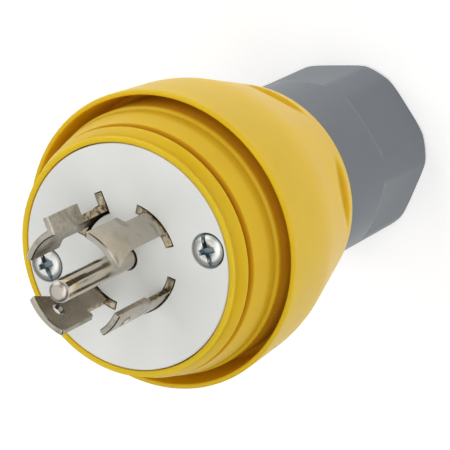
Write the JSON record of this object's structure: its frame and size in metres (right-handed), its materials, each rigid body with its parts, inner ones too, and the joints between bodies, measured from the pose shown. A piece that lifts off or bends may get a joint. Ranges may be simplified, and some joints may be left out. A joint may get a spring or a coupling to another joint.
{
  "type": "locking power plug",
  "caption": "Watertight twist-lock power plug with curved locking blades and a ground pin, a ribbed elastomer boot with a sealing skirt, and a nylon gland nut for the cord.",
  "frame": {"origin": "centre of the underside of the gland nut, on the plug's axis, with the plug standing on its nut", "axes": "+Z along the plug's axis towards the blades and pin; +X towards the right face screw; +Y completes the frame"},
  "size_m": [0.067, 0.067, 0.1274],
  "materials": {
    "boot": "moulded elastomer, satin",
    "grip": "moulded nylon, satin",
    "face": "moulded nylon, satin",
    "blade": "nickel-plated brass",
    "clamp": "zinc-plated steel",
    "screw": "zinc-plated steel",
    "insert": "turned brass",
    "grommet": "neoprene",
    "washer": "moulded nylon"
  },
  "bodies": {
    "root": {"seal_boot": "boot", "rear_grip": "grip", "inner_housing": "grip", "face_plate": "face", "terminal_body": "face", "blade_x": "blade", "blade_y": "blade", "blade_z": "blade", "blade_neutral": "blade", "ground_pin": "blade", "ground_strap": "blade", "terminal_clamp_x": "clamp", "terminal_clamp_y": "clamp", "terminal_clamp_z": "clamp", "terminal_clamp_neutral": "clamp", "terminal_clamp_ground": "clamp", "terminal_screw_x": "screw", "terminal_screw_y": "screw", "terminal_screw_z": "screw", "terminal_screw_neutral": "screw", "terminal_screw_ground": "screw", "face_screw_right": "screw", "face_screw_left": "screw", "screw_insert_right": "insert", "screw_insert_left": "insert", "cord_grommet": "grommet", "slip_washer": "washer", "cord_clamp_ring": "washer", "o_ring": "grommet"}
  },
  "joints": []
}
